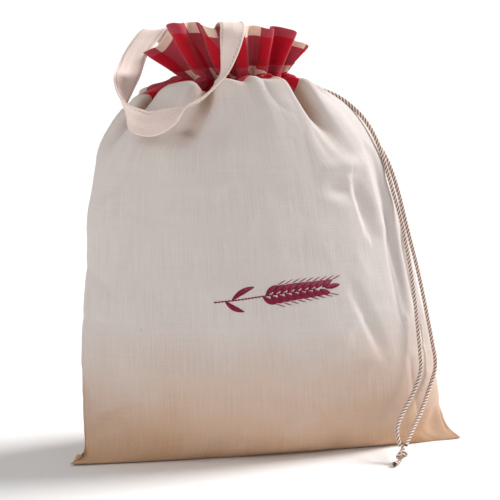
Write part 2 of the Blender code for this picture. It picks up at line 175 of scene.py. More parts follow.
def hump(share):
    """1 at zero, falling smoothly to 0 at one."""
    return (1 + np.cos(np.pi * np.minimum(share, 1.0))) / 2


def turn_between(degrees, other):
    return (degrees - other + 180) % 360 - 180


def slope_at(table, index):
    """The slope of each column at a row, level where the column turns, so that no curve overshoots."""
    before = table[index] - table[max(index - 1, 0)]
    after = table[min(index + 1, len(table) - 1)] - table[index]
    return np.where(before * after > 0, (before + after) / 2, 0.0)


def table_at(table, place):
    """A table's columns at a place between its rows, on smooth curves through them."""
    index = min(int(place), len(table) - 2)
    share = place - index
    low, high = table[index], table[index + 1]
    from_slope = slope_at(table, index)
    to_slope = slope_at(table, index + 1)
    square, cube = share**2, share**3
    return (
        (2 * cube - 3 * square + 1) * low
        + (cube - 2 * square + share) * from_slope
        + (3 * square - 2 * cube) * high
        + (cube - square) * to_slope
    )


RING_TABLE = np.array(RINGS, float)


def ring_at(place):
    return named(RING_COLUMNS, table_at(RING_TABLE, place))


def rim_lift(angles, place):
    """How much higher the frill stands at some angles than its sections say."""
    lifted = 0 * angles
    for row in RIM_LIFTS:
        raised = named(RIM_LIFT_COLUMNS, row)
        away = np.abs(turn_between(np.degrees(angles), raised["angle"]))
        lifted = lifted + raised["lift"] * hump(away / raised["width"])
    return lifted * way_between(place, NECK_RING, RIM_RING)


def plain_ring(angles, place):
    """The bag with no folds, at one place up it. Angle 0 is its left side, a quarter turn its front."""
    ring = ring_at(place)
    across, toward_front = np.cos(angles), np.sin(angles)
    deep_y, rise = (
        np.where(toward_front > 0, ring["front_" + value], ring["back_" + value]) for value in ("y", "rise")
    )
    return np.column_stack((
        ring["centre_x"] - ring["half_width"] * across,
        blend(ring["side_y"], deep_y, np.abs(toward_front) ** ring["tip"]),
        ring["height"] + rise * (1 - across**4) - ring["tilt"] * across + rim_lift(angles, place),
    ))


def unit(vectors):
    return vectors / np.linalg.norm(vectors, axis=-1, keepdims=True)


def summed(steps):
    """The sum of the steps before each place, from 0 on."""
    return np.concatenate(([0.0], np.cumsum(steps)))


def lengths_along(points):
    """How far along a line each of its points lies."""
    return summed(np.linalg.norm(np.diff(points, axis=0), axis=1))


def values_at(at, lengths, values):
    """The values of a line at one or more lengths along it."""
    return np.stack([np.interp(at, lengths, column) for column in values.T], axis=-1)


def fold_frame(angles, place):
    """The directions around the bag, the ways in which a fold sinks, and a radian's millimetres."""
    around = (plain_ring(angles + 0.02, place) - plain_ring(angles - 0.02, place)) / 0.04
    ring = ring_at(place)
    front_deep, back_deep = ring["side_y"] - ring["front_y"], ring["back_y"] - ring["side_y"]
    deep_y = np.where(np.sin(angles) > 0, front_deep, back_deep)
    inward = np.column_stack((np.cos(angles) / ring["half_width"], np.sin(angles) / deep_y, 0 * angles))
    sink = math.radians(ring["fold_sink"])
    sunk = unit(inward) * math.cos(sink) - np.array((0, 0, math.sin(sink)))
    return unit(around), sunk, np.linalg.norm(around, axis=1)


def neck_widths(index):
    """Half the way, in degrees, from a crease to each of its neighbours at the neck."""
    before, here, after = (CREASES[(index + way) % len(CREASES)][0] for way in (-1, 0, 1))
    return (here - before) % 360 / 2, (after - here) % 360 / 2


def crease_at(index, place, radius):
    """One crease's angle, its depth and its two widths in degrees at a place up the bag."""
    crease = named(CREASE_COLUMNS, CREASES[index])
    left_neck, right_neck = neck_widths(index)
    if place >= NECK_RING:
        share = way_between(place, NECK_RING, RIM_RING)
        depth = blend(crease["neck_depth"], crease["rim_depth"], share)
        return crease["neck_angle"], depth, left_neck, right_neck
    left_width = np.degrees(crease["left_width"] / radius)
    right_width = np.degrees(crease["right_width"] / radius)
    if place >= SEAM_RING:
        share = way_between(place, SEAM_RING, NECK_RING)
        return (
            blend(crease["seam_angle"], crease["neck_angle"], share),
            blend(crease["seam_depth"], crease["neck_depth"], share),
            blend(left_width, left_neck, share),
            blend(right_width, right_neck, share),
        )
    share = max((place - crease["foot_ring"]) / (SEAM_RING - crease["foot_ring"]), 0.0)
    bent = crease["bend"] * 4 * share * (1 - share)
    angle = blend(crease["foot_angle"], crease["seam_angle"], share) + bent
    return angle, crease["seam_depth"] * smooth_step(share * 1.15), left_width, right_width


def crease_shift(angles, place, radius):
    """How far the creases move each point inward and sideways."""
    inward, sideways = 0 * angles, 0 * angles
    for index in range(len(CREASES)):
        crease_angle, depth, left_width, right_width = crease_at(index, place, radius)
        if depth <= 0:
            continue
        offset = turn_between(np.degrees(angles), crease_angle)
        width = np.where(offset < 0, left_width, right_width)
        share = np.minimum(np.abs(offset) / width, 1.0)
        inward = inward + depth * hump(share)
        roundness = PLEAT_ROUNDNESS * min(depth / FULL_DEPTH, 1.0) ** 2
        round_by = roundness * np.radians(width) * radius / (2 * math.pi)
        sideways = sideways + np.sign(offset) * round_by * np.sin(2 * math.pi * share)
    return inward, sideways


def dent_shift(angles, place, radius):
    """How far the hollows and ridges away from the gathers move each point inward."""
    inward = 0 * angles
    for row in DENTS:
        dent = named(DENT_COLUMNS, row)
        rings = (place, dent["start_ring"], dent["end_ring"])
        if place >= SEAM_RING or not min(rings[1:]) - 1.5 < place < max(rings[1:]) + 1.5:
            continue
        up, start_up, end_up = (ring_at(ring)["height"] for ring in rings)
        start_across = np.radians(turn_between(dent["start_angle"], np.degrees(angles))) * radius
        end_across = start_across + math.radians(dent["end_angle"] - dent["start_angle"]) * radius
        start = np.column_stack((start_across, 0 * angles + start_up - up))
        line = np.column_stack((end_across - start_across, 0 * angles + end_up - start_up))
        length = np.linalg.norm(line, axis=1)
        line = unit(line)
        along = np.clip(-(start * line).sum(axis=1), 0.0, length)
        past = -start - line * along[:, None]
        side = line[:, 0] * past[:, 1] - line[:, 1] * past[:, 0]
        width = np.where(side > 0, dent["left_width"], dent["right_width"])
        middle = 0.35 + 0.65 * np.sin(np.pi * along / length)
        inward = inward + dent["depth"] * middle * hump(np.linalg.norm(past, axis=1) / width)
    return inward


def folded_ring(angles, place):
    """The bag's outer surface with its folds: each crease goes in, and its walls stand steep."""
    around, sink, radius = fold_frame(angles, place)
    inward, sideways = crease_shift(angles, place, radius)
    inward = inward + dent_shift(angles, place, radius)
    return plain_ring(angles, place) + sink * inward[:, None] + around * sideways[:, None]


def crease_angles(place):
    """Every crease's angle at one place up the bag, in radians, and the first once more at the end."""
    angles = [crease_at(index, place, 100.0)[0] for index in range(len(CREASES))]
    return np.radians([*angles, angles[0] + 360])


def columns_between_creases(columns):
    """How many columns of the mesh lie between each crease and the next."""
    lengths = [lengths_between(place)[1][:, -1] for place in COUNTED_PLACES]
    shares = [part / part.sum() for part in lengths]
    ends = np.round(np.cumsum(np.mean(shares, axis=0)) * columns).astype(int)
    return np.diff(ends, prepend=0)


def lengths_between(place):
    """Angles from each crease to the next, and the folded cloth's length from the first to each."""
    edges = crease_angles(place)
    angles = np.linspace(edges[:-1], edges[1:], SAMPLES_BETWEEN_CREASES, axis=1)
    points = folded_ring(angles.ravel(), place).reshape(*angles.shape, 3)
    steps = np.linalg.norm(np.diff(points, axis=1), axis=2)
    return angles, np.concatenate((np.zeros((len(steps), 1)), np.cumsum(steps, axis=1)), axis=1)


def even_angles(place, counts):
    """Angles for the mesh's columns: each crease keeps one, and the cloth between is parted evenly."""
    return np.concatenate([
        np.interp(np.arange(count) * lengths[-1] / count, lengths, angles)
        for angles, lengths, count in zip(*lengths_between(place), counts)
    ])


def rows_up(points):
    """How far up the cloth each row of points lies, from the lowest one."""
    return summed(np.linalg.norm(np.diff(points, axis=0), axis=2).mean(axis=1))


def even_places(start, end, spacing):
    """Places up the bag that are evenly spaced along the cloth."""
    fine = np.linspace(start, end, 500)
    points = np.array([plain_ring(np.radians((0, 90, 180, 270)), place) for place in fine])
    lengths = rows_up(points)
    count = int(round(lengths[-1] / spacing))
    return np.interp(np.linspace(0, lengths[-1], count + 1), lengths, fine)


def grid_normals(points):
    """The outward normals of rings of points, each the mean of the faces around it."""
    after = np.roll(points, -1, axis=1)
    low_face = np.cross(after[:-1] - points[:-1], after[1:] - points[:-1])
    high_face = np.cross(after[1:] - points[:-1], points[1:] - points[:-1])
    sums = np.zeros_like(points)
    sums[:-1] += unit(low_face) + unit(high_face)
    sums[1:] += unit(high_face) + np.roll(unit(low_face) + unit(high_face), 1, axis=1)
    sums[:-1] += np.roll(unit(low_face), 1, axis=1)
    return unit(sums)


NOISE_ROWS = 400


def soft_noise(across, up, cell_across, cell_up, seed, around=CLOTH_AROUND):
    """Smooth random values from -1 to 1 over the cloth, which join up round the bag."""
    cells = max(int(round(around / cell_across)), 1)
    table = np.random.default_rng(seed).uniform(-1, 1, (cells, NOISE_ROWS))
    x, y = across / around * cells, up / cell_up + 100
    left, low = np.floor(x).astype(int), np.floor(y).astype(int)
    in_x, in_y = smooth_step(x - left), smooth_step(y - low)
    left, right, high = left % cells, (left + 1) % cells, (low + 1) % NOISE_ROWS
    low = low % NOISE_ROWS
    bottom = blend(table[left, low], table[right, low], in_x)
    return blend(bottom, blend(table[left, high], table[right, high], in_x), in_y)


def crisp_noise(*values):
    """Narrow raised lines, wandering over the cloth."""
    return (1 - np.abs(soft_noise(*values))) ** 4


def linear(red, green, blue):
    """A screen colour of 0 to 255 as the renderer's linear colour."""
    parts = [value / 255 for value in (red, green, blue)]
    return tuple(part / 12.92 if part <= 0.04045 else ((part + 0.055) / 1.055) ** 2.4 for part in parts)


def mesh_object(name, mesh, finish):
    mesh.materials.append(finish)
    made = bpy.data.objects.new(name, mesh)
    bpy.context.scene.collection.objects.link(made)
    return made


def face_corners(rows, width, count):
    """The corners of a grid's faces, as numbers of its points, four for each face.

    Each row has a count of points. Where that is one less than its width, the row joins up with its start."""
    row, column = np.meshgrid(np.arange(rows - 1), np.arange(width - 1), indexing="ij")
    ways = ((0, 0), (0, 1), (1, 1), (1, 0))
    return np.stack([(row + up) * count + (column + on) % count for up, on in ways], axis=-1).reshape(-1)


def cloth_object(name, points, quads, maps, finish, painted_hollow_shade=None):
    """A mesh of four-cornered faces, with maps for its corners. The painted hollow shade is a value for each
    point: how strongly shade is painted into its colour.
    """
    mesh = bpy.data.meshes.new(name)
    mesh.vertices.add(len(points))
    mesh.vertices.foreach_set("co", (points * MM).astype(np.float32).ravel())
    mesh.loops.add(len(quads))
    mesh.loops.foreach_set("vertex_index", quads.astype(np.int32))
    mesh.polygons.add(len(quads) // 4)
    mesh.polygons.foreach_set("loop_start", np.arange(0, len(quads), 4, dtype=np.int32))
    mesh.update(calc_edges=True)
    for layer, values in maps.items():
        mesh.uv_layers.new(name=layer).data.foreach_set("uv", values.astype(np.float32).ravel())
    if painted_hollow_shade is not None:
        depths = mesh.attributes.new("painted_hollow_shade", "FLOAT", "POINT")
        depths.data.foreach_set("value", painted_hollow_shade.astype(np.float32).ravel())
    mesh.validate()
    mesh.shade_smooth()
    return mesh_object(name, mesh, finish)


def grid_object(name, points, cloth, finish, stripes=None, painted_hollow_shade=None):
    """A surface through rows of points, with a map in millimetres of cloth. Stripes are a second map."""
    rows, count = points.shape[:2]
    width = cloth.shape[1]
    corners = face_corners(rows, width, width)
    maps = {"cloth": cloth.reshape(-1, 2)[corners]}
    if stripes is not None:
        maps["stripes"] = stripes.reshape(-1, 2)[corners]
    return cloth_object(name, points.reshape(-1, 3), face_corners(rows, width, count), maps, finish, painted_hollow_shade)


def joined_object(name, patches, finish):
    """Many small grids as one mesh. Each patch is its points and its map."""
    quads, maps, start = [], [], 0
    for grid, cloth in patches:
        rows, columns = grid.shape[:2]
        corners = face_corners(rows, columns, columns)
        quads.append(start + corners)
        maps.append(cloth.reshape(-1, 2)[corners])
        start += rows * columns
    points = np.concatenate([grid.reshape(-1, 3) for grid, _ in patches])
    return cloth_object(name, points, np.concatenate(quads), {"cloth": np.concatenate(maps)}, finish)


def map_grid(across, up):
    """The map of a grid, from how far across each column is, and how far up each row is or point is."""
    return np.stack(np.broadcast_arrays(across, up[:, None] if up.ndim == 1 else up), axis=-1)


class Nodes:
    """Short calls that add a material's nodes and join them."""

    def __init__(self, name, roughness, sheen):
        self.material = bpy.data.materials.new(name)
        self.material.use_nodes = True
        self.tree = self.material.node_tree
        self.shader = self.tree.nodes["Principled BSDF"]
        surface = {
            "Roughness": roughness, "Specular IOR Level": 0.2, "Sheen Weight": sheen, "Sheen Roughness": 0.45,
        }
        for socket, value in surface.items():
            self.shader.inputs[socket].default_value = value

    def add(self, kind, inputs=(), **settings):
        node = self.tree.nodes.new(kind)
        for setting, value in settings.items():
            setattr(node, setting, value)
        for socket, value in dict(inputs).items():
            if isinstance(value, bpy.types.NodeSocket):
                self.tree.links.new(value, node.inputs[socket])
            else:
                node.inputs[socket].default_value = value
        return node

    def math(self, operation, *values):
        return self.add("ShaderNodeMath", dict(enumerate(values)), operation=operation).outputs[0]

    def times(self, value, factor):
        return self.math("MULTIPLY", value, factor)

    def ranged(self, value, low, high, to_low, to_high, smooth=False):
        inputs = {
            "Value": value, "From Min": low, "From Max": high, "To Min": to_low, "To Max": to_high,
        }
        kind = "SMOOTHSTEP" if smooth else "LINEAR"
        return self.add("ShaderNodeMapRange", inputs, interpolation_type=kind).outputs[0]

    def mix(self, share, low, high, way="MIX"):
        low, high = ((*colour, 1.0) if isinstance(colour, tuple) else colour for colour in (low, high))
        inputs = {0: share, 6: low, 7: high}
        return self.add("ShaderNodeMix", inputs, data_type="RGBA", blend_type=way).outputs[2]

    def tinted(self, share, colour, tint):
        """The colour, multiplied by a tint where the share is 1."""
        return self.mix(share, colour, self.mix(1.0, colour, tint, "MULTIPLY"))

    def cloth(self, layer="cloth"):
        """The two coordinates of a map over the cloth, in millimetres."""
        spot = self.add("ShaderNodeUVMap", uv_map=layer).outputs[0]
        parted = self.add("ShaderNodeSeparateXYZ", {0: spot})
        return parted.outputs[0], parted.outputs[1]

    def spot(self, across, up, along=0.0):
        """A texture's place, from two ways over the cloth with their scales."""
        across, up = self.times(*across), self.times(*up)
        return self.add("ShaderNodeCombineXYZ", {0: across, 1: up, 2: along}).outputs[0]

    def noise(self, *ways):
        inputs = {"Vector": self.spot(*ways), "Scale": 1.0, "Detail": 2.0}
        return self.add("ShaderNodeTexNoise", inputs).outputs[0]

    def weave(self, across, up):
        """A plain weave's height, from -1 to 1: above 0 where the threads that run up lie on top."""
        crosswise, lengthwise = (
            self.math("SINE", self.times(way, math.pi / WEAVE_PITCH)) for way in (across, up)
        )
        return self.times(crosswise, lengthwise)

    def finish(self, colour, height, distance, strength):
        self.tree.links.new(colour, self.shader.inputs["Base Color"])
        inputs = {"Height": height, "Distance": distance, "Strength": strength}
        bump = self.add("ShaderNodeBump", inputs)
        self.tree.links.new(bump.outputs[0], self.shader.inputs["Normal"])
        return self.material


def slubs(nodes, across, up):
    """Thicker and thinner threads both ways, as a value about 0.5."""
    upright = nodes.noise((across, 0.9), (up, 0.022), 3.0)
    level = nodes.noise((across, 0.02), (up, 1.1), 9.0)
    return nodes.math("ADD", nodes.times(upright, 0.62), nodes.times(level, 0.38))


# Painted shade in the creases and dents: the brown tint multiplied into the cloth there.
PAINTED_HOLLOW_SHADE_TINT = (0.62, 0.42, 0.29)
# Painted shade with warm bounce light from the table: the tan tint of the lowest cloth.
PAINTED_TABLE_SHADE_TINT = (0.87, 0.59, 0.38)
NO_TINT = (1.0, 1.0, 1.0)
FLECK_COLOUR = linear(110, 84, 62)
FLECK_RADIUS = 0.034


def calico_finish(name, light, shade, table_shade_tint, table_shade_from, table_shade_to):
    """Unbleached cotton with uneven threads, pale patches and a few dark flecks.

    It is painted warmer near the table, as painted shade with warm bounce light, and browner in its creases
    and dents, as painted shade."""
    nodes = Nodes(name, 0.92, 0.15)
    across, up = nodes.cloth()
    threads = slubs(nodes, across, up)
    patches = nodes.noise((across, 0.02), (up, 0.016), 1.0)
    tone = nodes.mix(nodes.ranged(threads, 0.36, 0.64, 0.0, 1.0), shade, light)
    tone = nodes.mix(nodes.ranged(patches, 0.3, 0.7, 0.0, 0.5), tone, nodes.mix(0.5, tone, light))
    spot = nodes.add("ShaderNodeTexCoord").outputs["Object"]
    height = nodes.add("ShaderNodeSeparateXYZ", {0: spot}).outputs[2]
    # Painted shade with warm bounce light: below these heights the cloth is tinted tan, with a ragged edge.
    rough_edge = nodes.math("ADD", height, nodes.ranged(patches, 0.0, 1.0, -0.03, 0.03))
    table_shade_share = nodes.ranged(rough_edge, table_shade_from, table_shade_to, 1.0, 0.0)
    tone = nodes.tinted(table_shade_share, tone, table_shade_tint)
    # Painted shade: the cloth is tinted brown in its creases and dents, as strongly as each point's painted
    # hollow shade says.
    painted_hollow_shade = nodes.add("ShaderNodeAttribute", attribute_name="painted_hollow_shade").outputs["Fac"]
    tone = nodes.tinted(painted_hollow_shade, tone, PAINTED_HOLLOW_SHADE_TINT)
    weave = nodes.weave(across, up)
    tone = nodes.tinted(nodes.ranged(weave, -1.0, 1.0, 0.08, 0.0), tone, (0.55, 0.5, 0.45))
    spread = nodes.spot((across, 0.055), (up, 0.045))
    cells = nodes.add("ShaderNodeTexVoronoi", {"Vector": spread, "Scale": 1.0})
    chosen = nodes.add("ShaderNodeSeparateColor", {0: cells.outputs["Color"]}).outputs[0]
    near = nodes.math("LESS_THAN", cells.outputs["Distance"], FLECK_RADIUS)
    fleck = nodes.times(near, nodes.math("GREATER_THAN", chosen, 0.55))
    tone = nodes.mix(nodes.times(fleck, 0.55), tone, FLECK_COLOUR)
    raised = nodes.math("ADD", nodes.times(weave, 0.3), nodes.times(threads, 1.6))
    return nodes.finish(tone, raised, 0.0003, 0.55)


def check_finish():
    """Woven check: red and cream stripes both ways, darker red where one crosses cream."""
    nodes = Nodes("check_cloth", 0.88, 0.2)
    across, up = nodes.cloth()
    upright, level = (
        nodes.math("GREATER_THAN", nodes.math("FRACT", nodes.math("DIVIDE", counted, 2.0)), 0.5)
        for counted in nodes.cloth("stripes")
    )
    weave = nodes.weave(across, up)
    over = nodes.ranged(weave, -0.25, 0.25, 0.0, 1.0)
    plain = nodes.mix(over, linear(236, 202, 182), linear(246, 220, 202))
    half = nodes.mix(over, linear(196, 80, 94), linear(162, 38, 58))
    solid = nodes.mix(over, linear(182, 6, 32), linear(196, 12, 40))
    tone = nodes.mix(level, nodes.mix(upright, plain, half), nodes.mix(upright, half, solid))
    threads = slubs(nodes, across, up)
    tone = nodes.tinted(nodes.ranged(threads, 0.3, 0.7, 0.25, 0.0), tone, (0.62, 0.55, 0.55))
    raised = nodes.math("ADD", nodes.times(weave, 0.3), threads)
    return nodes.finish(tone, raised, 0.0003, 0.5)


def cord_finish():
    """Twisted cotton: cream strands, with shade painted brown into the grooves between them. The map is the
    way along, and the ply's height.
    """
    nodes = Nodes("cord_yarn", 0.9, 0.3)
    along, depth = nodes.cloth()
    yarns = nodes.noise((along, 4.0), (depth, 3.0))
    raised = nodes.ranged(depth, 0.2, 0.85, 0.0, 1.0, smooth=True)
    # Painted shade: the lower the ply's surface, the browner the colour, darkest in the grooves.
    tone = nodes.mix(raised, linear(104, 64, 58), linear(236, 218, 206))
    tone = nodes.tinted(nodes.ranged(yarns, 0.3, 0.7, 0.3, 0.0), tone, (0.6, 0.52, 0.48))
    return nodes.finish(tone, yarns, 0.0004, 0.6)


def thread_finish(name, light, dark_tone_and_groove_shade, pitch, roughness, sheen):
    """Smooth thread that lies in close rows, with shade painted dark into the grooves between them: the map's
    first coordinate runs across the rows.
    """
    nodes = Nodes(name, roughness, sheen)
    across, along = nodes.cloth()
    rows = nodes.math("SINE", nodes.times(across, 2 * math.pi / pitch))
    uneven = nodes.noise((across, 1.3), (along, 0.3))
    # Painted shade: the thread is darkest in the grooves between its rows.
    tone = nodes.mix(nodes.ranged(rows, -1.0, 0.4, 1.0, 0.0), light, dark_tone_and_groove_shade)
    # The uneven patches take the same darker colour, as the thread's own unevenness.
    tone = nodes.mix(nodes.ranged(uneven, 0.3, 0.7, 0.0, 0.35), tone, dark_tone_and_groove_shade)
    return nodes.finish(tone, rows, 0.0003, 0.7)


CALICO = calico_finish(
    "calico_cloth", linear(219, 211, 207), linear(209, 200, 195), PAINTED_TABLE_SHADE_TINT, table_shade_from=0.0, table_shade_to=0.13,
)
# The strap is the sack's calico painted lighter, as painted light from the front and above. It has no painted
# shade near the table.
PAINTED_LIT_STRAP = calico_finish(
    "painted_lit_strap_cloth", linear(240, 222, 214), linear(228, 208, 199), NO_TINT, table_shade_from=-2.0, table_shade_to=-1.0,
)
CHECK = check_finish()
CORD = cord_finish()
EMBROIDERY = thread_finish("embroidery_thread", linear(168, 22, 68), linear(92, 6, 34), 0.8, 0.5, 0.1)
SEWING = thread_finish("sewing_thread", linear(226, 208, 196), linear(176, 154, 140), 0.5, 0.6, 0.2)
RED_SEWING = thread_finish("red_sewing_thread", linear(168, 24, 44), linear(120, 14, 30), 0.5, 0.6, 0.2)

# The sack and its heading, fine enough for small wrinkles.
SACK_PLACES = even_places(0, SEAM_RING, 2.5)
HEADING_PLACES = even_places(SEAM_RING, RIM_RING, 1.5)
WAYS_ROUND = np.arange(COLUMNS_AROUND + 1) * CLOTH_AROUND / COLUMNS_AROUND

# Where the seam between the sack and its heading lies: ways round the cloth, and places up the bag.
SEAM_LINE = (
    (-50, 14), (-23, 13.9), (-11, 13.5), (-4, 13.1), (0, 13.2), (6, 13.5), (14, 13.9), (20, 14),
    (139, 14), (150, 13.5), (231, 13.5), (250, 13.4), (256, 12.7), (266, 12.7), (277, 12.95),
    (289, 13.5), (300, 13.9), (312, 14), (689, 14),
)
# Where the check's upright stripes begin, round the rim, the frill and the seam: the first one is red.
RIM_STRIPES = (-49.6, -13.2, 10, 64, 82, 108, 132, 182, 221, 290, 326)
FRILL_STRIPES = (-45, -8, 12, 76, 85, 132, 140, 186, 219, 300, 326)
SEAM_STRIPES = (-40, 22, 70, 100, 125, 140, 222, 236, 272, 330, 362)
STRIPES_AROUND = 20
CINCH_PLACE = 16.2
FRILL_PLACE = 16.8
CASING_PLACES = (15.05, 17.1)
SLID_PLACES = (11, 15.3)
GATHERED_PLACE = 15.9
GATHERED_REACH = 1.15


def with_seam_line(points, places, across):
    """Slides the rows near the seam along the cloth, so that the seam's row follows its line."""
    ways = np.where(across > SEAM_LINE[-1][0], across - CLOTH_AROUND, across)
    moved = points.copy()
    at = np.empty(points.shape[:2])
    below, above = SLID_PLACES
    held = (0, below, SEAM_RING, above, RIM_RING)
    for column, seam in enumerate(np.interp(ways, *zip(*SEAM_LINE))):
        at[:, column] = np.interp(places, held, (0, below, seam, above, RIM_RING))
        for axis in range(3):
            moved[:, column, axis] = np.interp(at[:, column], places, points[:, column, axis])
    return moved, at


def stripe_counts(starts, across):
    """How many stripes lie before each way round the cloth, given where the ones at the front start."""
    rest = np.linspace(starts[-1], starts[0] + CLOTH_AROUND, STRIPES_AROUND - len(starts) + 2)
    edges = np.concatenate((starts, rest[1:]))
    twice_round = np.concatenate((edges[:-1], edges + CLOTH_AROUND))
    return np.interp(across, twice_round, np.arange(2 * STRIPES_AROUND + 1))


def bag_cloth():
    """One folded surface with its small wrinkles, for the sack and its heading, which meet at the seam."""
    counts = columns_between_creases(COLUMNS_AROUND)
    places = np.concatenate((SACK_PLACES, HEADING_PLACES[1:]))
    angles = np.array([even_angles(place, counts) for place in places])
    points = np.array([folded_ring(row, place) for row, place in zip(angles, places)])
    seam_row = len(SACK_PLACES) - 1
    up = rows_up(points)
    u, v = np.broadcast_arrays(WAYS_ROUND[None, :-1], up[:, None])
    points, place = with_seam_line(points, places, WAYS_ROUND[:-1])
    height = points[:, :, 2].copy()
    shoulder = smooth_step((height - 200) / 110) * (place < SEAM_RING)
    above = np.arange(len(places))[:, None] >= seam_row
    neck = np.exp(-((place - GATHERED_PLACE) / GATHERED_REACH) ** 2)
    low = smooth_step((60 - height) / 50)
    # Each noise adds wrinkles of a height, on cells of cloth so wide and so high, in millimetres.
    shift = 1.7 * soft_noise(u, v, 60, 80, 11) * (place < 13)
    shift += (0.5 + 0.5 * shoulder) * soft_noise(u, v, 17, 55, 12) * (place < 13.6)
    shift += 2.2 * crisp_noise(u, v, 52, 40, 13) * soft_noise(u, v, 60, 60, 14) * (place < 13.4)
    shift += 0.5 * soft_noise(u, v, 24, 20, 24) * (place < 13.4)
    shift += 0.14 * soft_noise(u, v, 8, 9, 15)
    shift += 0.5 * low * soft_noise(u, v, 52, 12, 16)
    shift += neck * (1.9 * soft_noise(u, v, 5.5, 30, 17) + 1.7 * crisp_noise(u, v, 8, 20, 19))
    shift += above * 0.5 * soft_noise(u, v, 15, 30, 18)
    seam = np.exp(-((v - up[seam_row]) / 1.7) ** 2)
    shift -= 0.9 * seam
    # The two pressed edges of the sack, each a low ridge with a hollow on both sides.
    radius = np.array([lengths_along(np.vstack((row, row[:1])))[-1] for row in points]) / (2 * math.pi)
    for side in (0, 180):
        away = np.radians(turn_between(np.degrees(angles), side)) * radius[:, None]
        edge = -0.8 * np.exp(-(away / 1.9) ** 2) + 0.45 * np.exp(-((np.abs(away) - 4.5) / 2.2) ** 2)
        shift += edge * (place < 12) * smooth_step(height / 12)
    shift = shift * smooth_step(height / 6)
    points = points + grid_normals(points) * shift[:, :, None]
    lift = np.maximum(soft_noise(u, v * 0, 64, 50, 21), 0) * 2.2 * smooth_step((8 - height) / 8)
    points[:, :, 2] = np.maximum(points[:, :, 2] + lift, 0.05)
    rim = smooth_step((place - 18) / 2)
    points[:, :, 2] += rim * 1.8 * soft_noise(u, v * 0, 30, 50, 22)
    # How strongly shade is painted into the sack's colour in its creases and dents.
    painted_hollow_shade = shade_depth_in_hollows(angles, places) * (place < SEAM_RING)
    return points, up, seam_row, painted_hollow_shade


HOLLOW_SHADE_SMOOTHINGS = 30


def shade_depth_in_hollows(angles, places):
    """How deep each point lies in a crease or a dent of the shoulder, from 0 to 1, with soft edges: how
    strongly shade is painted into the cloth's colour there.
    """
    rows = []
    for row, place in zip(angles, places):
        radius = fold_frame(row, place)[2]
        creased = smooth_step((crease_shift(row, place, radius)[0] - 1) / 13)
        dented = smooth_step(dent_shift(row, place, radius) / 5)
        rows.append(np.maximum(creased, dented) * smooth_step((place - 9.2) / 1.5))
    shade_share = np.array(rows)
    for _ in range(HOLLOW_SHADE_SMOOTHINGS):
        beside = np.roll(shade_share, 1, axis=1) + np.roll(shade_share, -1, axis=1)
        shade_share = (beside + np.vstack((shade_share[:1], shade_share[:-1])) + np.vstack((shade_share[1:], shade_share[-1:]))) / 4
    return shade_share


def bottom_rows(ring):
    """Rows that close the sack's foot, flat on the table, from its middle out to its lowest ring."""
    middle = np.array((0.0, ring[:, 1].mean(), 0.0))
    rows = []
    for share in (0.02, 0.35, 0.7, 0.93, 0.99):
        row = middle + (ring - middle) * share
        row[:, 2] = ring[:, 2] * max(share - 0.9, 0) * 10
        rows.append(row)
    return np.array(rows)


def build_sack(points, up, seam_row, painted_hollow_shade):
    foot = bottom_rows(points[0])
    rows = np.concatenate((foot, points[:seam_row + 1]))
    heights = np.concatenate((np.linspace(-60, -2, len(foot)), up[:seam_row + 1]))
    # Painted shade in the creases and dents, and none on the foot.
    shade_share = np.concatenate((np.zeros((len(foot), COLUMNS_AROUND)), painted_hollow_shade[:seam_row + 1]))
    # Its two long edges meet at a fold and aren't joined, as in the cloth that it was cut from.
    rows, shade_share = (np.concatenate((part, part[:, :1]), axis=1) for part in (rows, shade_share))
    cloth = map_grid(WAYS_ROUND, heights)
    return grid_object("sack_cloth", rows, cloth, CALICO, painted_hollow_shade=shade_share)


def build_heading(points, up, seam_row):
    """The doubled check cloth: up the outside, over the rim and down the inside."""
    outer = points[seam_row:]
    normals = grid_normals(outer)
    inner = outer - normals * CLOTH_THICKNESS
    rise = unit(outer[-1] - outer[-2])
    edge = [
        outer[-1] - normals[-1] * CLOTH_THICKNESS * share + rise * 0.5 * math.sin(math.pi * share)
        for share in (0.2, 0.5, 0.8)
    ]
    rows = np.concatenate((outer, edge, inner[::-1]))
    down = up[-1] - up[seam_row:]
    starts = (SEAM_STRIPES, FRILL_STRIPES, RIM_STRIPES)
    seam_counts, frill_counts, rim_counts = (stripe_counts(row, WAYS_ROUND) for row in starts)
    frilled, rimmed = (
        smooth_step((HEADING_PLACES - low) / reach)[:, None]
        for low, reach in ((15.2, 1.6), (17.5, 2.5))
    )
    counted = blend(blend(seam_counts, frill_counts, frilled), rim_counts, rimmed)
    rim_share = 1 - down / np.interp(FRILL_PLACE, HEADING_PLACES, down)
    levels = np.interp(HEADING_PLACES, (SEAM_RING, CINCH_PLACE, FRILL_PLACE), (3.9, 3.0, 2.0))
    levels = np.where(HEADING_PLACES > FRILL_PLACE, 2.0 - 1.27 * rim_share, levels)
    cloth, stripes = (
        np.concatenate((part, np.repeat(part[-1:], len(edge), axis=0), part[::-1]))
        for part in (map_grid(WAYS_ROUND, down), map_grid(counted + 1, levels))
    )
    return grid_object("check_heading_cloth", rows, cloth, CHECK, stripes=stripes)


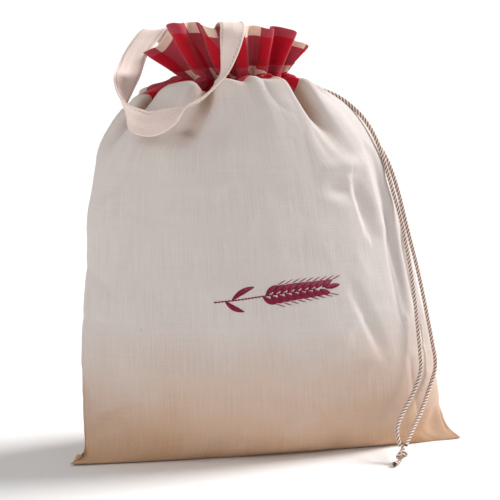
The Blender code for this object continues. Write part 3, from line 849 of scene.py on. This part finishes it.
# Stations along the hanging loop's tape: the place of its middle, and then the direction from
# one edge to the other, which need not be square on.
LOOP_STATIONS = (
    (-22, 58.2, 326, 1, -0.3, 0), (-22, 56.6, 340, 1, -0.3, 0),
    (-23, 55, 355, 1, -0.15, 0), (-26, 56, 368, 1, 0, 0),
    (-30, 49, 378, 1, 0, 0), (-34, 24, 384, 1, 0, 0),
    (-36, -6, 392, 1, 0, 0), (-37, -20, 396.3, 1, 0, 0),
    (-37.5, -34, 398.6, 1, 0, 0), (-38.5, -46, 396, 1, -0.1, 0),
    (-41, -53.5, 387, 0.82, -0.57, 0.08), (-44.5, -58, 372.5, 0.45, -0.88, 0.09),
    (-50.5, -61, 355, 0.03, -0.99, 0.14), (-66.6, -63, 338.5, -0.1, -0.97, 0.21),
    (-83.4, -63, 329.4, -0.1, -0.98, 0.12), (-98, -62, 320.5, 0.1, -0.75, -0.62),
    (-114, -58.5, 315, 0, -0.25, -0.96), (-126.2, -55, 318.6, 0.15, -0.1, -0.98),
    (-133.2, -45.5, 326.8, 0.32, 0.2, -0.93), (-134.5, -29, 336, 0.5, 0.45, -0.74),
    (-129.5, -9.5, 345.2, 0.85, 0.3, -0.42), (-122, 8.5, 353.5, 0.95, -0.05, -0.2),
    (-114, 25, 366, 0.95, -0.2, 0), (-103.5, 39, 377, 0.95, -0.2, 0.05),
    (-92, 50, 385.6, 0.98, -0.15, 0.1), (-81.5, 58.5, 383.2, 1, -0.1, 0),
    (-73.5, 61.5, 373, 1, 0, 0), (-65, 59.5, 357, 1, 0.1, 0.15),
    (-56, 57.3, 342, 1, 0.13, 0.15), (-51, 58, 328, 1, 0.13, 0.1),
)

# The drawstring's two strands, from where they leave the gathers to the knot that joins them.
LEFT_STRAND_PATH = (
    (17.8, 3, 350.7), (24.1, 4.9, 347.1), (31.1, 6.6, 343.5), (39.1, 7.5, 339.6), (48.4, 7.9, 335.7),
    (59.2, 7.4, 331.7), (70.8, 5, 326.5), (81.8, 0.4, 318.5), (92.2, -5.3, 307.6),
    (100.5, -11.2, 293.4), (107, -16.4, 276.4), (112.2, -20.7, 257.4), (117.3, -24.9, 237.4),
    (122.5, -29, 217), (127, -32, 194), (131.5, -35, 167), (135, -38, 140), (137.5, -42, 110),
    (138.5, -45, 94), (138.5, -48, 76), (131, -53, 58), (119, -61, 42.5), (109.5, -71, 29),
    (109, -80.5, 15),
)
RIGHT_STRAND_PATH = (
    (9.1, 10.6, 350), (13.7, 15.9, 346.4), (19, 20.8, 342.4), (25.9, 22.9, 337.6), (34, 23.8, 332.6),
    (43.3, 24.9, 327.5), (53.6, 26, 322.5), (65.1, 27.2, 317.4), (77.4, 27.1, 312),
    (89.5, 24.1, 304.8), (100.4, 18.6, 295), (109.8, 12.2, 282.9), (117.8, 5.6, 268.5),
    (123.6, -0.5, 251.9), (128.2, -5.9, 233.5), (132.2, -10.3, 214), (136.5, -14.5, 194),
    (143.5, -16, 167), (149.5, -18, 140), (153.5, -21, 118), (156.5, -25.5, 98), (159, -30, 74),
    (149.5, -39.5, 53), (138.5, -53.5, 39), (127, -67, 28), (114.8, -81, 15.4),
)


def smooth_path(points, steps):
    """Points on a smooth curve through the given ones, some steps from each to the next."""
    points = np.array(points, float)
    padded = np.vstack((2 * points[0] - points[1], points, 2 * points[-1] - points[-2]))
    found = []
    for index in range(1, len(padded) - 2):
        before, start, end, after = padded[index - 1:index + 3]
        for share in np.arange(steps) / steps:
            found.append(0.5 * (
                2 * start + (end - before) * share
                + (2 * before - 5 * start + 4 * end - after) * share**2
                + (3 * start - before - 3 * end + after) * share**3
            ))
    return np.array([*found, points[-1]])


def path_directions(points):
    return unit(np.gradient(points, axis=0))


def tape_grid():
    """The tape's rounded section along its path: its points, its frame, and the way along it."""
    stations = np.array(LOOP_STATIONS, float)
    middles = smooth_path(stations[:, :3], TAPE_STEPS)
    ribs = smooth_path([unit(rib) for rib in stations[:, 3:]], TAPE_STEPS)
    forward = path_directions(middles)
    ribs = unit(ribs - forward * (ribs * forward).sum(axis=1, keepdims=True))
    faced = np.cross(forward, ribs)
    along = lengths_along(middles)
    across = np.linspace(-1, 1, TAPE_COLUMNS)
    half_thick = TAPE_THICKNESS / 2
    half = TAPE_WIDTH / 2 - half_thick
    face = np.column_stack((across * half, np.full(TAPE_COLUMNS, half_thick)))
    turn = np.radians((-60, -30, 0, 30, 60))
    right = np.column_stack((half + half_thick * np.cos(turn), half_thick * np.sin(turn)))[::-1]
    section = np.vstack((face, right, face[::-1] * (1, -1), right[::-1] * (-1, 1)))
    edge_roll = 0.35 * np.cos(np.pi * np.clip(np.abs(section[:, 0]) / half, 0, 1) * 2)
    section[:, 1] += edge_roll * 0.4
    sideways, outward = section[None, :, :1], section[None, :, 1:]
    points = middles[:, None] + ribs[:, None] * sideways + faced[:, None] * outward
    return points, (middles, ribs, faced), along, section


STITCH_PITCH = 3.6
STITCH_LENGTH = 2.5
STITCH_WIDTH = 0.7


def dash(centre, along, side, outward, rise):
    """One stitch: a short low mound of thread, as a grid of points and its map."""
    rows, columns = 7, 5
    run, turn = np.linspace(-1, 1, rows), np.linspace(0, math.pi, columns)
    narrow = np.sqrt(np.maximum(1 - run**4, 0.0))
    points = centre + (
        along * (run * STITCH_LENGTH / 2)[:, None, None]
        + side * (narrow[:, None] * np.cos(turn) * STITCH_WIDTH / 2)[:, :, None]
        + outward * (narrow[:, None] * np.sin(turn) * rise)[:, :, None]
    )
    return points, map_grid(turn * STITCH_WIDTH / 2, run * STITCH_LENGTH / 2)[:, :, ::-1]


def build_loop():
    points, (middles, ribs, faced), along, section = tape_grid()
    around = lengths_along(np.vstack((section, section[:1])))
    cloth = map_grid(around, along)
    wave = soft_noise(cloth[:, :-1, 1], cloth[:, :-1, 0], 26, 16, 31, 520)
    points = points + faced[:, None] * (0.6 * wave)[:, :, None]
    loop = grid_object("hanging_loop_tape", points, cloth, PAINTED_LIT_STRAP)
    patches = []
    stitched, sunk = TAPE_WIDTH / 2 - 2.2, TAPE_THICKNESS / 2 - 0.05
    for side in (-1, 1):
        for face in (-1, 1):
            for at in np.arange(4, along[-1] - 4, STITCH_PITCH):
                middle, rib, out = (values_at(at, along, part) for part in (middles, ribs, faced))
                ahead = values_at(at + 1, along, middles)
                start = middle + rib * side * stitched + out * face * sunk
                patches.append(dash(start, unit(ahead - middle), unit(rib), unit(out) * face, 0.45))
    stitches = joined_object("loop_stitches", patches, SEWING)
    return loop, stitches, along[-1]


def casing_stitches(points, seam_row):
    """Two rows of red stitches that hold the cord's casing, above and below the gathers."""
    rows = points[seam_row:]
    normals = grid_normals(rows)
    patches = []
    for place in CASING_PLACES:
        row = np.argmin(np.abs(HEADING_PLACES - place))
        ring, outward = (np.vstack((part[row], part[row][:1])) for part in (rows, normals))
        lengths = lengths_along(ring)
        for at in np.arange(0, lengths[-1] - 3, STITCH_PITCH):
            low, middle, high = (values_at(at + way, lengths, ring) for way in (0, 1.2, 2.4))
            out = unit(values_at(at + 1.2, lengths, outward))
            ahead = unit(high - low)
            patches.append(dash(middle - out * 0.05, ahead, np.cross(out, ahead), out, 0.5))
    return joined_object("casing_stitches", patches, RED_SEWING)


# The cord's plies, and the length in which each goes once round.
PLIES = 3
LAY = 10.8
CORD_COLUMNS = 24
CORD_SPACING = 0.7


def twisted_cord(name, line, radius, taper=None):
    """A cord of twisted plies along a line: its section has a lobe for each ply, and turns as it goes."""
    lengths = lengths_along(line)
    at = np.linspace(0, lengths[-1], int(lengths[-1] / CORD_SPACING) + 1)
    points = values_at(at, lengths, line)
    forward = path_directions(points)
    side = unit(np.cross(forward[0], (0.3, 0.5, 0.8)))
    turns = 2 * math.pi * np.arange(CORD_COLUMNS) / CORD_COLUMNS
    rings, marks = [], []
    radii = np.full(len(points), radius) if taper is None else radius * np.interp(at / at[-1], *taper)
    for point, direction, run, wide in zip(points, forward, at, radii):
        side = unit(side - direction * (side @ direction))
        other = np.cross(direction, side)
        lobe = np.abs(np.cos(PLIES / 2 * (turns - 2 * math.pi * run / LAY)))
        reach = wide * (0.62 + 0.38 * np.sqrt(lobe))
        outward = np.outer(reach * np.cos(turns), side), np.outer(reach * np.sin(turns), other)
        rings.append(point + outward[0] + outward[1])
        marks.append(np.column_stack((np.full(CORD_COLUMNS + 1, run), np.append(lobe, lobe[0]))))
    return grid_object(name, np.array(rings), np.array(marks), CORD), points


# The way of the cord through its knot: an overhand turn, and then the tail on the table.
KNOT_LINE = (
    (112, -81, 15.6), (111.4, -83.2, 12.6), (108.2, -86.2, 9.8), (106.4, -84.4, 6.2),
    (109.6, -81.4, 4.6), (113.6, -83, 6.6), (113.6, -86.4, 9.6), (110.2, -87.2, 10.4),
    (108.4, -84.6, 8.6), (109, -84.4, 5.4), (107.6, -87.2, 3.6), (105.4, -89.6, 3),
    (102.8, -92, 2.7), (100.2, -94.2, 2.7),
)


def build_cords():
    """Both strands of the drawstring, each from the gathers to the knot, and the knot with its tail."""
    swelling = ((0, 0.86, 1.0), (1, 1, 1.25))
    knot, _ = twisted_cord("cord_knot", smooth_path(KNOT_LINE, 8), CORD_DIAMETER / 2, swelling)
    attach(knot, "root")
    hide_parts("drawstring_knot")
    for side, path in (("left", LEFT_STRAND_PATH), ("right", RIGHT_STRAND_PATH)):
        line = smooth_path(path, 8)
        first = line[0] - unit(line[1] - line[0]) * 3.0
        line = np.vstack((first, line))
        strand, points = twisted_cord("cord_" + side, line, CORD_DIAMETER / 2)
        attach(strand, "root")
        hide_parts("drawstring_" + side)


def on_front(tree, x, z):
    """The point of the bag's front at a place across and up it, and its outward normal."""
    hit, normal, _, _ = tree.ray_cast(Vector((x * MM, -0.3, z * MM)), Vector((0, 1, 0)))
    return np.array(hit) / MM, np.array(normal if normal.y < 0 else -normal)


def satin_leaf(tree, start, end, width, fullness, bow=0.0):
    """A raised almond of close stitches from one point of the front to another, with rows across it."""
    start, end = np.array(start, float), np.array(end, float)
    length = np.linalg.norm(end - start)
    ahead = (end - start) / length
    side = np.array((-ahead[1], ahead[0]))
    rows, columns = max(int(length / 0.9), 6), 9
    grid, cloth = np.zeros((rows, columns, 3)), np.zeros((rows, columns, 2))
    for row, run in enumerate(np.linspace(0, 1, rows)):
        wide = width / 2 * math.sin(math.pi * min(max(run * 0.94 + 0.03, 0), 1)) ** 0.7
        for column, way in enumerate(np.linspace(-1, 1, columns)):
            at = start + ahead * length * run + side * (way * wide + bow * 4 * run * (1 - run))
            point, normal = on_front(tree, *at)
            rise = 0.12 + fullness * (1 - way * way) * math.sin(math.pi * run) ** 0.5
            grid[row, column] = point + normal * (rise if abs(way) < 1 else -0.15)
            cloth[row, column] = (run * length + way * wide * 0.35, way * wide)
    return grid, cloth


def stitched_line(tree, points, width):
    """A narrow raised line of stitches through points of the front."""
    patches = []
    line = smooth_path([(x, z, 0.0) for x, z in points], 8)
    lengths = lengths_along(line)
    for at in np.arange(0, lengths[-1] - 2, 3.0):
        start, end = (values_at(way, lengths, line)[:2] for way in (at, min(at + 3.4, lengths[-1])))
        patches.append(satin_leaf(tree, start, end, width, 0.45))
    return patches


GRAIN_PAIRS = 9
GRAIN_SPACING = 6.6


def build_embroidery(sack):
    """An ear of wheat in satin stitch: paired grains with beards along a stem, and two leaves."""
    tree = BVHTree.FromObject(sack, bpy.context.evaluated_depsgraph_get())
    stem = ((-60, 154.5), (-38, 156.5), (-15, 159.0), (10, 161.2), (34, 162.6))
    patches = stitched_line(tree, stem, 1.7)
    heading = math.radians(5)
    for index in range(GRAIN_PAIRS):
        x = -16 + index * GRAIN_SPACING
        z = np.interp(x, [p[0] for p in stem] + [60], [p[1] for p in stem] + [163.5])
        size = 13.5 - 0.28 * index
        for side in (-1, 1):
            lean = heading + side * math.radians(33 - index * 0.8)
            root = (x + (2.6 if side > 0 else 0), z + side * 0.8)
            tip = (root[0] + size * math.cos(lean), root[1] + size * math.sin(lean))
            patches.append(satin_leaf(tree, root, tip, 5.2, 0.95, side * 0.7))
            beard = (tip[0] + 9 * math.cos(lean * 0.8), tip[1] + 9 * math.sin(lean * 0.8))
            patches.append(satin_leaf(tree, (tip[0] - 0.6, tip[1]), beard, 0.9, 0.3))
    # The grain at the tip, and the two leaves.
    patches.append(satin_leaf(tree, (42, 163), (56.5, 164.6), 5.0, 0.95))
    patches.append(satin_leaf(tree, (-44, 156.2), (-24, 167.5), 5.4, 0.8, 1.8))
    patches.append(satin_leaf(tree, (-50, 155.6), (-33, 145.6), 5.0, 0.8, -1.6))
    return joined_object("wheat_embroidery", patches, EMBROIDERY)


points, up, seam_row, painted_hollow_shade = bag_cloth()
sack = build_sack(points, up, seam_row, painted_hollow_shade)
heading = build_heading(points, up, seam_row)
loop, loop_stitches, loop_length = build_loop()
casing = casing_stitches(points, seam_row)
wheat = build_embroidery(sack)
build_cords()

for piece in (sack, heading, loop, loop_stitches, casing, wheat):
    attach(piece, "root")
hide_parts("sack")
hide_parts("check_heading")
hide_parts("hanging_loop")


CAMERA_TARGET = (-0.01306, 0.0, 0.1871)
CAMERA_TURN = math.radians(-12.5)
CAMERA_TIP = math.radians(12.0)
CAMERA_DISTANCE = 1.6
CAMERA_LENS = 124.8
CAMERA_SENSOR = 36.0
FLOOR_REACH = 20.0
FLOOR_HEIGHT = -0.0002
WORLD_LIGHT = 0.4


def add_facing(name, data, place, direction):
    """An object that stands at a place and faces against a direction."""
    made = bpy.data.objects.new(name, data)
    made.location = place
    made.rotation_mode = "QUATERNION"
    made.rotation_quaternion = (-direction).to_track_quat("-Z", "Y")
    bpy.context.scene.collection.objects.link(made)
    return made


def add_camera():
    level = math.cos(CAMERA_TIP)
    back = Vector((math.sin(CAMERA_TURN) * level, -math.cos(CAMERA_TURN) * level, math.sin(CAMERA_TIP)))
    data = bpy.data.cameras.new("camera")
    data.lens = CAMERA_LENS
    data.sensor_width = CAMERA_SENSOR
    place = Vector(CAMERA_TARGET) + back * CAMERA_DISTANCE
    bpy.context.scene.camera = add_facing("camera", data, place, back)


def add_sun(name, place, spread, strength, colour):
    """A light from far away, in the direction of a place as seen from the bag."""
    data = bpy.data.lights.new(name, "SUN")
    data.angle = math.radians(spread)
    data.energy = strength
    data.color = colour
    add_facing(name, data, place, Vector(place))


def add_surroundings():
    world = bpy.data.worlds.new("studio")
    world.use_nodes = True
    shade = world.node_tree.nodes["Background"]
    shade.inputs["Color"].default_value = (1.0, 0.99, 0.985, 1.0)
    shade.inputs["Strength"].default_value = WORLD_LIGHT
    bpy.context.scene.world = world
    mesh = bpy.data.meshes.new("floor")
    corners = [(FLOOR_REACH * x, FLOOR_REACH * y, 0) for x, y in ((-1, -1), (1, -1), (1, 1), (-1, 1))]
    mesh.from_pydata(corners, [], [(0, 1, 2, 3)])
    nodes = Nodes("floor_paint", 0.8, 0.0)
    nodes.shader.inputs["Base Color"].default_value = (0.93, 0.925, 0.92, 1.0)
    floor = mesh_object("floor", mesh, nodes.material)
    floor.location.z = FLOOR_HEIGHT


bpy.context.scene.view_settings.view_transform = "Standard"
add_camera()
add_sun("key", (1.0, 0.12, 0.85), 20, 3.6, (1.0, 0.985, 0.985))
add_sun("fill", (-1.0, -0.25, 0.6), 40, 0.6, (1.0, 0.99, 0.98))
add_surroundings()
